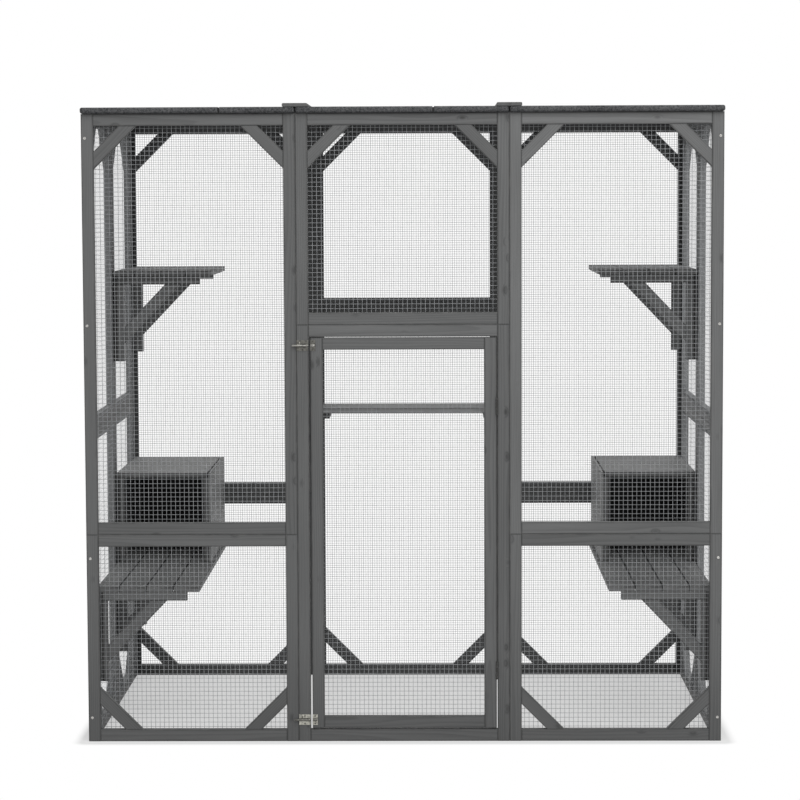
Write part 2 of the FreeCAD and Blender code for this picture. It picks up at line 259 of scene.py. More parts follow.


# The log's rings are distances from its pith, bent by slow noise and round the knots. Each ring darkens
# towards its late wood. Fibres are noise drawn out along the board. Painted shade darkens the arrises and
# the butted joints, the wood darkens towards the ground, and here and there an arris is rubbed pale. Cells
# are counted to the metre, along the board, across it and through it.
knot_cells = (13, 26, 26)
bend_cells = (1.3, 12, 12)
fibre_cells = (11, 700, 700)
pore_cells = (70, 2600, 2600)
blotch_cells = (2.5, 22, 22)
rub_cells = (25, 90, 90)
knotless_share = 0.57
knot_edge = 0.28
knot_heart = 0.04
ring_bend = 0.022
knot_bend = 0.006
late_start = 0.25
late_full = 0.9
late_end = 0.93
late_tone = -0.28
fibre_tone = 0.75
blotch_tone = 0.7
middle_tone = 0.63
knot_tone = -0.48
joint_painted_shade = 0.5
ground_reach = 0.35
ground_tone = -0.2
rub_start = 0.42
rub_full = 0.68
planed_roughness = 0.46
fibre_roughness = 0.22
late_roughness = 0.08
pore_height = 0.4
late_height = -0.3
grain_bump = 0.45
grain_relief = 0.0006
stain_gloss = 0.45
bare_wood = (0.30, 0.29, 0.275, 1)
grain_group, grain_given, grain_out = new_group(
    "stained grain",
    {"Stain": "Color", "Bare wood": "Color", "Ring width": "Float", "Figure": "Float", "Wear": "Float",
     "Arris dirt": "Float"},
    {"Color": "Color", "Roughness": "Float", "Height": "Float"},
)
log_place = add(grain_group, "ShaderNodeAttribute", attribute_name="grain").outputs["Vector"]
board_tone, arris_near, joint_shade_layer = (
    add(grain_group, "ShaderNodeAttribute", attribute_name=key).outputs["Fac"]
    for key in ("tone", "arris", "joint")
)
knot_sockets = {"Vector": times(log_place, knot_cells), "Scale": 1.0}
knots = add(grain_group, "ShaderNodeTexVoronoi", knot_sockets).outputs
knot_pick = calc("GREATER_THAN", knots["Color"], knotless_share)
knot_near = calc("MULTIPLY", ease(knots["Distance"], knot_edge, knot_heart), knot_pick)
cross_place = times(log_place, (0, 1, 1))
from_pith = add(grain_group, "ShaderNodeVectorMath", {0: cross_place}, operation="LENGTH").outputs["Value"]
bend = calc("MULTIPLY", noise(times(log_place, bend_cells)), ring_bend)
bent_distance = calc("ADD", calc("ADD", from_pith, bend), calc("MULTIPLY", knot_near, knot_bend))
ring_share = calc("FRACT", calc("DIVIDE", bent_distance, grain_given["Ring width"]))
late_wood = calc("MULTIPLY", ease(ring_share, late_start, late_full), ease(ring_share, 1.0, late_end))
fibres = noise(times(log_place, fibre_cells), detail=3.0)
pores = noise(times(log_place, pore_cells), detail=1.0)
blotches = noise(times(log_place, blotch_cells))
figure = calc("MULTIPLY", late_wood, late_tone)
figure = calc("MULTIPLY_ADD", fibres, fibre_tone, figure)
figure = calc("MULTIPLY_ADD", blotches, blotch_tone, figure)
figure = calc("MULTIPLY", calc("SUBTRACT", figure, middle_tone), grain_given["Figure"])
figure = calc("MULTIPLY_ADD", knot_near, knot_tone, calc("ADD", figure, 1.0))
# Painted shade: the arrises and the butted joints darken, so that seams and gaps fall dark.
seam_painted_shade = calc("MAXIMUM", calc("MULTIPLY", arris_near, grain_given["Arris dirt"]),
                 calc("MULTIPLY", joint_shade_layer, joint_painted_shade))
figure = calc("MULTIPLY", figure, calc("SUBTRACT", 1.0, seam_painted_shade))
wood_level = add(grain_group, "ShaderNodeSeparateXYZ", {0: object_place(grain_group)}).outputs["Z"]
ground_near = ease(wood_level, ground_reach, 0.0)
figure = calc("MULTIPLY", figure, calc("MULTIPLY_ADD", ground_near, ground_tone, 1.0))
stained = times(grain_given["Stain"], calc("MULTIPLY", figure, board_tone))
rubbed = ease(noise(times(log_place, rub_cells)), rub_start, rub_full)
rubbed = calc("MULTIPLY", calc("MULTIPLY", rubbed, arris_near), grain_given["Wear"])
wood_roughness = calc("MULTIPLY_ADD", fibres, fibre_roughness, planed_roughness)
wood_height = calc("MULTIPLY_ADD", pores, pore_height, fibres)
feed(grain_out, {
    "Color": mix(rubbed, stained, grain_given["Bare wood"]),
    "Roughness": calc("MULTIPLY_ADD", late_wood, late_roughness, wood_roughness),
    "Height": calc("MULTIPLY_ADD", late_wood, late_height, wood_height),
})


def stained_wood(name, stain, ring_width, figure_strength, wear, arris_painted_shade=0.38):
    """Softwood under a thin grey stain, by the grain group."""
    material, tree, shader = new_material(name)
    values = {"Stain": (*stain, 1), "Bare wood": bare_wood, "Ring width": ring_width,
              "Figure": figure_strength, "Wear": wear, "Arris dirt": arris_painted_shade}
    grain = add(tree, "ShaderNodeGroup", values, node_tree=grain_group).outputs
    relief = {"Height": grain["Height"], "Strength": grain_bump, "Distance": grain_relief}
    feed(shader, {
        "Base Color": grain["Color"],
        "Roughness": grain["Roughness"],
        "Normal": add(tree, "ShaderNodeBump", relief).outputs["Normal"],
        "Specular IOR Level": stain_gloss,
    })
    return material


def node_box(node):
    """A CAD node's lowest and highest corners as arrays."""
    low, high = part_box(node)
    return np.array(low), np.array(high)


def wall_axes(low, high):
    """The level axis that a panel runs along, its thin axis, and the way to the inside along that one."""
    thin = int(np.argmin(high - low))
    inward = -np.sign(low[thin] + high[thin])
    return 1 - thin, thin, inward


def square_to(axis, start, end):
    """The direction at right angles to an axis and to the line from start to end."""
    return np.cross(axis, (end - start) / np.linalg.norm(end - start))


def panel_boards(low, high, braced_end, tone):
    """The battens of one panel. The stiles run its full height, the rails fit between them, and each brace's
    middle line runs from the rail to the stile, halfway between its outer and inner edges, which are a batten
    apart."""
    side, thin = wall_axes(low, high)[:2]
    along_wall = np.eye(3)[side]
    thickness = high[thin] - low[thin]
    middle = (low + high) / 2

    def spot(side_place, height):
        place = middle.copy()
        place[side] = side_place
        place[2] = height
        return place

    half = batten_width / 2
    left, right = low[side] + batten_width, high[side] - batten_width
    spans = [(spot(edge, low[2]), spot(edge, high[2]), along_wall) for edge in (left - half, right + half)]
    spans += [(spot(left, height), spot(right, height), up) for height in (low[2] + half, high[2] - half)]
    boards = [board(*span, batten_width, thickness, tone=tone) for span in spans]
    if braced_end:
        way = -1 if braced_end == "top" else 1
        rail_edge = high[2] - batten_width if braced_end == "top" else low[2] + batten_width
        reach = brace_leg - batten_width / math.sqrt(2)
        for corner, away in ((left, 1), (right, -1)):
            start = spot(corner + away * reach, rail_edge)
            end = spot(corner, rail_edge + way * reach)
            across = square_to(np.eye(3)[thin], start, end)
            boards.append(board(start, end, across, batten_width, thickness, (up, along_wall), tone=tone))
    return boards


batten_stain = stained_wood("batten_stain", (0.126, 0.128, 0.128), ring_width=0.0042, figure_strength=0.6,
                            wear=0.12)
# The back wall is painted darker as shade under the roof, and the right wall paler as painted light on its
# inner faces.
wall_light_and_shade_tones = {"back": 0.72, "left": 1.02, "right": 1.5}
panel_tones = {
    "front_left_upper_frame": 0.97,
    "front_right_upper_frame": 1.20,
    "front_right_lower_frame": 1.05,
}
door_trim = (np.array([0.0013, 0, -0.0012]), np.array([0.0012, 0, 0.0028]))
panel_ends = {"front_door_surround": None, "door_frame": None}
for wall in ("front", "back"):
    for bay in ("left", "centre", "right"):
        panel_ends[f"{wall}_{bay}_upper_frame"] = "top"
        if (wall, bay) != ("front", "centre"):
            panel_ends[f"{wall}_{bay}_lower_frame"] = "bottom"
for wall in ("left", "right"):
    for bay in ("front", "rear"):
        panel_ends[f"{wall}_{bay}_upper_frame"] = "top"
        panel_ends[f"{wall}_{bay}_lower_frame"] = "bottom"
for node, braced_end in panel_ends.items():
    tone = panel_tones.get(node, wall_light_and_shade_tones.get(node.split("_")[0], 1.0))
    low, high = node_box(node)
    carrier = "enclosure"
    if node == "door_frame":
        low, high = low + door_trim[0], high + door_trim[1]
        carrier = "door"
    battens = join(panel_boards(low, high, braced_end, tone))
    put(node.replace("_frame", "") + "_battens", battens, batten_stain, carrier, node)

# Welded mesh
# Half-inch galvanised mesh of 1.2 mm wire in front, a little wider one on the back wall, whose wire is
# painted darker as shade, and one of lighter wire on the side walls: upright wires against the battens and
# level wires welded across them. It overlaps the battens by ten millimetres and is stapled to them.
cell = 0.0127
wire_radius = 0.00060
side_wire_radius = 0.00025
back_wire_radius = 0.00043
back_cell = 0.014436
front_start = (0.0, 0.0)
back_start = (-0.005393, 0.011017)
mesh_inset = 0.024
weld_depth = 0.55
staple_crown = 0.010
staple_radius = 0.0006
staple_spacing = 0.105
staple_inset = 0.005
wire_sides = 6
off_wires = (0.6, 0.5, 0.62)


def rods(starts, ends, radius):
    """Straight round wires: a ring of equal turns about each end of each line, at the wire's radius. The
    turns start square to the line and to a direction that no wire runs along."""
    along = (ends - starts) / np.linalg.norm(ends - starts, axis=1, keepdims=True)
    side = np.cross(along, off_wires)
    side /= np.linalg.norm(side, axis=1, keepdims=True)
    other = np.cross(along, side)
    turn = np.arange(wire_sides) * 2 * math.pi / wire_sides
    ring = radius * (np.cos(turn)[:, None] * side[:, None] + np.sin(turn)[:, None] * other[:, None])
    return tubes(np.stack([starts[:, None] + ring, ends[:, None] + ring], axis=1))


def lines(axes, first, last, places, depth):
    """The ends of parallel lines: one line at each place on the row axis, from first to last on the run axis,
    all at one depth."""
    row_axis, run_axis, depth_axis = axes
    starts = np.zeros((len(places), 3))
    starts[:, row_axis] = places
    starts[:, depth_axis] = depth
    ends = starts.copy()
    starts[:, run_axis] = first
    ends[:, run_axis] = last
    return starts, ends


def steps(first, last, pitch, start):
    """The places between first and last that are whole pitches from the start."""
    lowest, highest = math.ceil((first - start) / pitch), math.floor((last - start) / pitch)
    return start + pitch * np.arange(lowest, highest + 1)


def welded_mesh(low, high, radius, pitch, start):
    """The wires and staples of one panel. The sheet is cut from a roll, so its wires stand at whole pitches
    from the start along the wall and up it, and its edges fall where they may."""
    side, thin, inward = wall_axes(low, high)
    face = high[thin] if inward > 0 else low[thin]
    left, right = low[side] + mesh_inset, high[side] - mesh_inset
    bottom, top = low[2] + mesh_inset, high[2] - mesh_inset
    upright_places = steps(left + radius, right - radius, pitch, start[0])
    level_places = steps(bottom + radius, top - radius, pitch, start[1])
    first_layer = face + inward * radius
    second_layer = first_layer + inward * 2 * radius * weld_depth
    shapes = [
        rods(*lines((side, 2, thin), bottom, top, upright_places, first_layer), radius),
        rods(*lines((2, side, thin), left, right, level_places, second_layer), radius),
    ]
    crown_depth = second_layer + inward * (radius + staple_radius) * weld_depth
    half = staple_crown / 2
    for row, run, edges, first, last in (
        (2, side, (bottom + staple_inset, top - staple_inset), left, right),
        (side, 2, (left + staple_inset, right - staple_inset), bottom, top),
    ):
        places = np.linspace(first, last, round((last - first) / staple_spacing) + 2)[1:-1]
        for edge in edges:
            tips = np.zeros((2, len(places), 3))
            tips[:, :, row] = edge
            tips[:, :, thin] = crown_depth
            tips[0, :, run] = places - half
            tips[1, :, run] = places + half
            feet = tips.copy()
            feet[:, :, thin] = face - inward * staple_radius
            shapes.append(rods(tips[0], tips[1], staple_radius))
            shapes.append(rods(feet.reshape(-1, 3), tips.reshape(-1, 3), staple_radius))
    return shapes


# Zinc, wire and painted steel all dull in patches: broad noise mixes a fresh and a dull colour, and fine
# noise spots it.
spot_scale = 9.0
spot_start = 0.5
spot_full = 0.75
spot_weight = 0.35
patch_start = 0.35
patch_full = 0.68
fresh_roughness = 0.3
dull_roughness = 0.25
metal_group, metal_given, metal_out = new_group(
    "dulled metal",
    {"Fresh": "Color", "Dull": "Color", "Patch": "Float"},
    {"Color": "Color", "Roughness": "Float"},
)
patch_place = times(object_place(metal_group), metal_given["Patch"])
patches = ease(noise(patch_place, detail=4.0), patch_start, patch_full)
spots = ease(noise(patch_place, spot_scale), spot_start, spot_full)
dullness = calc("MULTIPLY_ADD", spots, spot_weight, patches)
feed(metal_out, {
    "Color": mix(dullness, metal_given["Fresh"], metal_given["Dull"]),
    "Roughness": calc("MULTIPLY_ADD", dullness, dull_roughness, fresh_roughness),
})


def dulled_metal(name, fresh, dull, patch, metallic):
    """Plated or painted steel, by the dulled metal group, with so many patches to the metre."""
    material, tree, shader = new_material(name)
    values = {"Fresh": (*fresh, 1), "Dull": (*dull, 1), "Patch": patch}
    metal = add(tree, "ShaderNodeGroup", values, node_tree=metal_group).outputs
    feed(shader, {"Base Color": metal["Color"], "Roughness": metal["Roughness"], "Metallic": metallic})
    return material


galvanised_wire = dulled_metal("galvanised_wire", (0.40, 0.41, 0.42), (0.29, 0.30, 0.31), patch=60.0,
                               metallic=0.5)
# A darker copy of the galvanised wire, as painted shade, for the back wall.
weathered_wire = dulled_metal("weathered_wire", (0.27, 0.275, 0.28), (0.19, 0.193, 0.197), patch=60.0,
                              metallic=0.5)
for node in frame["nodes"]:
    if node.endswith("_mesh"):
        prefix = node.replace("_side_mesh", "_").replace("_mesh", "_")
        panels = [panel for panel in panel_ends if panel.startswith(prefix) and panel.endswith("_frame")]
        gauge, wire = (wire_radius, cell, front_start), galvanised_wire
        if "_side_" in node:
            gauge = (side_wire_radius, cell, front_start)
        elif node.startswith("back"):
            gauge, wire = (back_wire_radius, back_cell, back_start), weathered_wire
        sheets = join([shape for panel in panels for shape in welded_mesh(*node_box(panel), *gauge)])
        carrier = "door" if node == "door_mesh" else "enclosure"
        put(node.replace("_mesh", "_wires"), sheets, wire, carrier, node)

# Screws
# Zinc plated pan heads with a cross recess: long ones join the walls through their corner stiles, and small
# ones hold the hinge leaves and the bolts' plates.
head_segments = 24
# The dome's radii and heights from the rim to the middle, as shares of the head's own
head_profile = np.array([(1, 0), (1, 0.35), (0.97, 0.58), (0.88, 0.8), (0.72, 0.93), (0.6, 0.97), (0.46, 1),
                         (0.32, 1.01), (0.18, 1.02), (0.05, 1.02)])
recess_width = 0.14
recess_reach = 0.62
recess_depth = 0.55
corner_head_radius = 0.004
corner_head_height = 0.0016
corner_screw_inset = 0.0105
corner_screw_heights = (0.068, 0.525, 1.186, 1.712)
small_head_radius = 0.0022
small_head_height = 0.0012


def square_axes(axis):
    """Two directions at right angles to each other and to an axis, which is upright or level."""
    side = np.array([1.0, 0.0, 0.0]) if axis[2] else np.cross(axis, up)
    return side, np.cross(axis, side)


def screw_head(seat, out, radius, height):
    """A pan head: a dome turned about its axis, let down in a cross where a point lies near either of two
    lines through the middle and within the recess's reach."""
    side, other = square_axes(out)
    turn = np.arange(head_segments) * 2 * math.pi / head_segments
    reach = head_profile[:, :1]
    x, y = reach * np.cos(turn), reach * np.sin(turn)
    cross_slot = np.maximum(np.exp(-(x / recess_width) ** 4), np.exp(-(y / recess_width) ** 4))
    rise = head_profile[:, 1:] - recess_depth * cross_slot * (reach < recess_reach)
    points = np.asarray(seat) + height * rise[..., None] * np.asarray(out)
    points += radius * (x[..., None] * side + y[..., None] * other)
    return tubes(points[None])


bright_zinc = dulled_metal("bright_zinc", (0.64, 0.63, 0.61), (0.46, 0.45, 0.43), patch=140.0, metallic=0.5)
# A paler zinc, as a painted highlight, for the bottom bolt's plates.
zinc_plate = dulled_metal("zinc_plate", (0.53, 0.52, 0.46), (0.30, 0.296, 0.264), patch=140.0, metallic=0.6)
front_face, back_face = node_box("front_left_upper_frame")[0][1], node_box("back_left_upper_frame")[1][1]
side_reach = node_box("front_right_upper_frame")[1][0] - corner_screw_inset
corner_heads = [
    screw_head((x, face, height), (0, out, 0), corner_head_radius, corner_head_height)
    for x in (-side_reach, side_reach)
    for face, out in ((front_face, -1), (back_face, 1))
    for height in corner_screw_heights
]
put("corner_screw_heads", join(corner_heads), bright_zinc, "enclosure", "corner_screws")

# Slide bolts
# Pressed zinc plated steel: a slotted plate with two straps on the door post, a round bolt with a knob that
# slides in them, and on the door a slotted keeper plate with one strap. Each plate has two small screws.
plate_height = 0.030
plate_thickness = 0.0012
slot_half = 0.004
slot_end = 0.0015
strap_mid_radius = 0.0033
strap_thickness = 0.0013
strap_length = 0.005
keeper_strap_length = 0.012
strap_end_inset = 0.0015
bolt_radius = 0.0026
bolt_ease = 0.35 * bolt_radius
knob_radius = 0.002
knob_offset = 0.0075
plate_screw_spread = 0.011
sheet_rounding = 0.0004
turned_segments = 20
sideways = np.array([1.0, 0.0, 0.0])
strap_turns = np.radians(np.linspace(0, 180, 13))
# Eased corners of the strap's section, the bolt's eased end, and the knob's heights and radii, all as shares
section_corners = np.array([(0.5, -0.32), (0.5, 0.32), (0.44, 0.5), (-0.44, 0.5), (-0.5, 0.32), (-0.5, -0.32),
                            (-0.44, -0.5), (0.44, -0.5)])
bolt_end = np.array([(0, -1), (0.3, -0.3), (1, 0)])
knob_profile = np.array([(0, 0.75), (0.45, 0.75), (0.55, 1), (0.85, 1), (0.95, 0.8), (1, 0.4)])


def sheet(start, end, across, width, thickness):
    """A strip of sheet metal: a board with a fine rounding, without the layers that only wood needs."""
    return {**board(start, end, across, width, thickness, rounding=sheet_rounding), "layers": {}}


def slotted_plate(left, right, height):
    """A plate with a slot at this height: a strip under the slot and one over it, and a bar at each end."""
    middle = door_face - plate_thickness / 2
    strip = plate_height / 2 - slot_half
    lift = slot_half + strip / 2
    spans = [((left, middle, z), (right, middle, z), up, strip) for z in (height - lift, height + lift)]
    for x in (left + slot_end / 2, right - slot_end / 2):
        spans.append(((x, middle, height - slot_half), (x, middle, height + slot_half), sideways, slot_end))
    return [sheet(*span, plate_thickness) for span in spans]


def strap(middle, width):
    """A strip bent over the bolt: a rectangle with eased corners carried up from the plate, round half a
    circle about the bolt's axis and down to the plate again."""
    depths, heights = -strap_mid_radius * np.sin(strap_turns), -strap_mid_radius * np.cos(strap_turns)
    path = np.stack([np.zeros(len(strap_turns)), depths, heights], axis=1) + middle
    path = np.concatenate([path[:1], path, path[-1:]])
    path[[0, -1], 1] = plate_face + sheet_rounding
    tangent = np.gradient(path, axis=0)
    tangent /= np.linalg.norm(tangent, axis=1, keepdims=True)
    normal = np.cross(tangent, sideways)
    section = section_corners * (width, strap_thickness)
    points = path[:, None] + section[:, :1] * sideways + section[:, 1:] * normal[:, None]
    return tubes(points[None])


def turned(origin, axis, profile):
    """A turned piece: a profile of places along an axis and radii, carried round that axis."""
    side, other = square_axes(axis)
    turn = np.arange(turned_segments) * 2 * math.pi / turned_segments
    around = np.cos(turn)[:, None] * side + np.sin(turn)[:, None] * other
    points = np.asarray(origin) + profile[:, :1, None] * axis + profile[:, 1:, None] * around
    return tubes(points[None])


def both_ends(end, length):
    """The profile of a rod whose ends are alike: one end, and the same one turned round at the length."""
    return np.concatenate([end, end[::-1] * (-1, 1) + (length, 0)])


bolt_zinc = dulled_metal("bolt_zinc", (0.33, 0.325, 0.30), (0.22, 0.215, 0.20), patch=140.0, metallic=0.6)
# A darker zinc, as painted shade, for the top bolt's plates, the bottom bolt's rod and straps, and the small
# screw heads.
dull_zinc = dulled_metal("dull_zinc", (0.18, 0.176, 0.158), (0.10, 0.099, 0.09), patch=140.0, metallic=0.6)
door_face = node_box("door_frame")[0][1]
plate_face = door_face - plate_thickness
post_screws, door_screws = [], []
# The top bolt's plates and the bottom bolt's rod and straps are painted darker as shade; the bottom bolt's
# plates are painted paler as a highlight.
for bolt, plate_zinc, rod_zinc in (
    ("top_bolt", dull_zinc, bolt_zinc),
    ("bottom_bolt", zinc_plate, dull_zinc),
):
    bolt_low, bolt_high = node_box(bolt)
    axis_y, axis_z = (bolt_low[1] + bolt_high[1]) / 2, bolt_low[2] + bolt_radius
    rod_profile = both_ends(bolt_end * bolt_ease + (0, bolt_radius), bolt_high[0] - bolt_low[0])
    rod = turned((bolt_low[0], axis_y, axis_z), sideways, rod_profile)
    knob_x = sum(node_box("latch_bodies"))[0] / 2 - knob_offset
    knob = turned((knob_x, axis_y, axis_z), up, knob_profile * (bolt_high[2] - axis_z, knob_radius))
    put(bolt + "_rod", join([rod, knob]), rod_zinc, bolt, bolt)
    for node, plate_name, strap_name, carrier, screws in (
        ("latch_bodies", "_plate", "_straps", "enclosure", post_screws),
        ("latch_keepers", "_keeper", "_keeper_strap", "door", door_screws),
    ):
        low, high = node_box(node)
        middle = (low[0] + high[0]) / 2
        inset = strap_end_inset + strap_length / 2
        places, length = (low[0] + inset, high[0] - inset), strap_length
        if carrier == "door":
            places, length = (middle,), keeper_strap_length
        straps = [strap((x, axis_y, axis_z), length) for x in places]
        for z in (axis_z - plate_screw_spread, axis_z + plate_screw_spread):
            seat = (middle, plate_face, z)
            screws.append(screw_head(seat, (0, -1, 0), small_head_radius, small_head_height))
        plate = join(slotted_plate(low[0], high[0], axis_z))
        put(bolt + plate_name, plate, plate_zinc, carrier, node)
        put(bolt + strap_name, join(straps), rod_zinc, carrier, node)

# Hinges
# Two dark painted butt hinges: leaves folded between the post and the door's edge, five rolled knuckles in
# turn from either leaf, and a pin with a head at each end.
hinge_height = 0.050
knuckle_radius = 0.003
knuckle_rim = 0.12 * knuckle_radius
knuckle_count = 5
knuckle_step = hinge_height / knuckle_count
knuckle_gap = 0.003
knuckle_height = knuckle_step - knuckle_gap
leaf_thickness = 0.0015
leaf_screw_spread = 0.015
leaf_screw_height = 0.0003
pin_radius = 0.00144
pin_step = 0.0001
pin_head_radius = 0.0024
pin_head_height = 0.0012
# The pin's head from its crown to its rim: heights and radii, as shares
pin_head_shares = np.array([(1, 0.5), (0.7, 0.85), (0.3, 1), (0, 1)])
backwards = np.array([0.0, 1.0, 0.0])
dark_steel = dulled_metal("dark_steel", (0.07, 0.069, 0.067), (0.045, 0.044, 0.042), patch=120.0,
                          metallic=0.3)
hinge_joint = next(joint for joint in frame["joints"] if joint["name"] == "door_hinge")
hinge_x, hinge_y = hinge_joint["pos_m"][:2]
hinge_low, hinge_high = node_box("hinge_post_leaves")
hinge_bottoms = (hinge_low[2], hinge_high[2] - hinge_height)
knuckle_end = np.array([(0, knuckle_radius - knuckle_rim), (knuckle_rim, knuckle_radius)])
knuckle_profile = both_ends(knuckle_end, knuckle_height)
for node, way, first, carrier, screws in (
    ("hinge_post_leaves", 1, 0, "enclosure", post_screws),
    ("hinge_door_leaves", -1, 1, "door", door_screws),
):
    low, high = node_box(node)
    leaf_x = high[0] - leaf_thickness / 2 if way > 0 else low[0] + leaf_thickness / 2
    leaf_y = (hinge_y + knuckle_radius + high[1]) / 2
    leaf_depth = high[1] - hinge_y - knuckle_radius
    shapes = []
    for bottom in hinge_bottoms:
        leaf_ends = (leaf_x, leaf_y, bottom), (leaf_x, leaf_y, bottom + hinge_height)
        shapes.append(sheet(*leaf_ends, backwards, leaf_depth, leaf_thickness))
        for base in bottom + np.arange(first, knuckle_count, 2) * knuckle_step + knuckle_gap / 2:
            shapes.append(turned((hinge_x, hinge_y, base), up, knuckle_profile))
            fold_start = np.array([leaf_x, hinge_y, base + knuckle_height / 2])
            fold_end = fold_start + (knuckle_radius + leaf_thickness) * backwards
            shapes.append(sheet(fold_start, fold_end, up, knuckle_height, leaf_thickness))
        for rise in (-leaf_screw_spread, leaf_screw_spread):
            seat = (leaf_x - way * leaf_thickness / 2, leaf_y, bottom + hinge_height / 2 + rise)
            screws.append(screw_head(seat, (-way, 0, 0), small_head_radius, leaf_screw_height))
    put(node.replace("_leaves", "_leaf_pair"), join(shapes), dark_steel, carrier, node)
pin_head = pin_head_shares * (pin_head_height, pin_head_radius)
pin_shank = [(pin_step, pin_radius), (hinge_height, pin_radius), (hinge_height + pin_step, pin_head_radius)]
pin_profile = np.concatenate([pin_head * (-1, 1), pin_shank, pin_head[2::-1] + (hinge_height, 0)])
pins = [turned((hinge_x, hinge_y, bottom), up, pin_profile) for bottom in hinge_bottoms]
put("hinge_pin_pair", join(pins), dark_steel, "enclosure", "hinge_pins")
put("post_hardware_screw_heads", join(post_screws), dull_zinc, "enclosure",
    "frame_hardware_screws")
put("door_hardware_screw_heads", join(door_screws), dull_zinc, "door", "door_hardware_screws")

# Shelves and platforms
# Four planed planks each, laid front to back with narrow gaps, screwed from below to brackets: an arm under
# the planks, an upright and a strut with slanted ends between them. A strip painted near black as shade
# stands between each deck's first bracket and the wall.
plank_count = 4
plank_width = 0.074
plank_gap = 0.003
plank_rounding = 0.001
plank_shade = 0.0006
# The plank ends and edges are painted dark as shade in the gaps, and the shelves' planks darker as shade
# under the roof.
plank_end_shade = 0.65
bracket_counts = {"shelf": 2, "platform": 3}
deck_shade_tones = {"shelf": 0.85, "platform": 1.0}
shade_strip_widths = {"shelf": 0.010, "platform": 0.020}
shade_strip_tone = 0.12
bracket_thickness = 0.018
arm_height = 0.025
upright_width = 0.034
strut_width = 0.034
strut_reach = 0.170
strut_drop = 0.178
plank_stain = stained_wood("plank_stain", (0.182, 0.184, 0.184), ring_width=0.0050, figure_strength=0.6,
                           wear=0.15)
deck_stain = stained_wood("deck_stain", (0.182, 0.184, 0.184), ring_width=0.0050, figure_strength=0.6,
                          wear=0.05, arris_painted_shade=0.85)


def bracket_boards(low, high, count, away, shade_strip_width):
    """The brackets under one deck, spread evenly from its first to its last. Away is the way from the wall
    into the enclosure. The strut's middle line lies halfway between its outer edge and an inner one a strut's
    width away."""
    wall_x = low[0] if away > 0 else high[0]
    end_x = high[0] if away > 0 else low[0]
    arm_bottom = high[2] - arm_height
    arm_z = high[2] - arm_height / 2
    slope = math.atan2(strut_drop, strut_reach)
    reach = strut_reach - strut_width / 2 / math.sin(slope)
    drop = strut_drop - strut_width / 2 / math.cos(slope)
    upright_face = wall_x + away * upright_width
    boards = []
    for front in np.linspace(low[1], high[1] - bracket_thickness, count):
        y = front + bracket_thickness / 2
        shade_strip_here = shade_strip_width if front == low[1] else 0.0
        arm_x = wall_x + away * shade_strip_here
        boards.append(board((arm_x, y, arm_z), (end_x, y, arm_z), up, arm_height, bracket_thickness))
        uprights = [((arm_x + upright_face) / 2, arm_bottom, upright_width - shade_strip_here, 1.0)]
        # The strip painted near black as shade, from the wall to the arm.
        if shade_strip_here:
            uprights.append(((wall_x + arm_x) / 2, high[2], shade_strip_here, shade_strip_tone))
        for x, top, width, tone in uprights:
            boards.append(board((x, y, low[2]), (x, y, top), sideways, width, bracket_thickness, tone=tone))
        start = np.array([upright_face + away * reach, y, arm_bottom])
        end = np.array([upright_face, y, arm_bottom - drop])
        across = square_to(backwards, start, end)
        boards.append(board(start, end, across, strut_width, bracket_thickness, (up, sideways)))
    return boards


for wall, away in (("left", 1), ("right", -1)):
    for deck, bracket_count in bracket_counts.items():
        node = f"{wall}_{deck}_deck"
        low, high = node_box(node)
        inner_x = high[0] if away > 0 else low[0]
        last_width = high[0] - low[0] - (plank_count - 1) * (plank_width + plank_gap)
        z = (low[2] + high[2]) / 2
        planks = []
        for width in [plank_width] * (plank_count - 1) + [last_width]:
            x = inner_x - away * width / 2
            planks.append(board((x, low[1], z), (x, high[1], z), sideways, width, high[2] - low[2],
                                rounding=plank_rounding, tone=deck_shade_tones[deck], end_painted_shade=plank_end_shade,
                                shade_width=plank_shade))
            inner_x -= away * (width + plank_gap)
        put(f"{wall}_{deck}_planks", join(planks), deck_stain, "enclosure", node)
        node = f"{wall}_{deck}_brackets"
        brackets = join(bracket_boards(*node_box(node), bracket_count, away, shade_strip_widths[deck]))
        put(f"{wall}_{deck}_bracket_set", brackets, batten_stain, "enclosure", node)

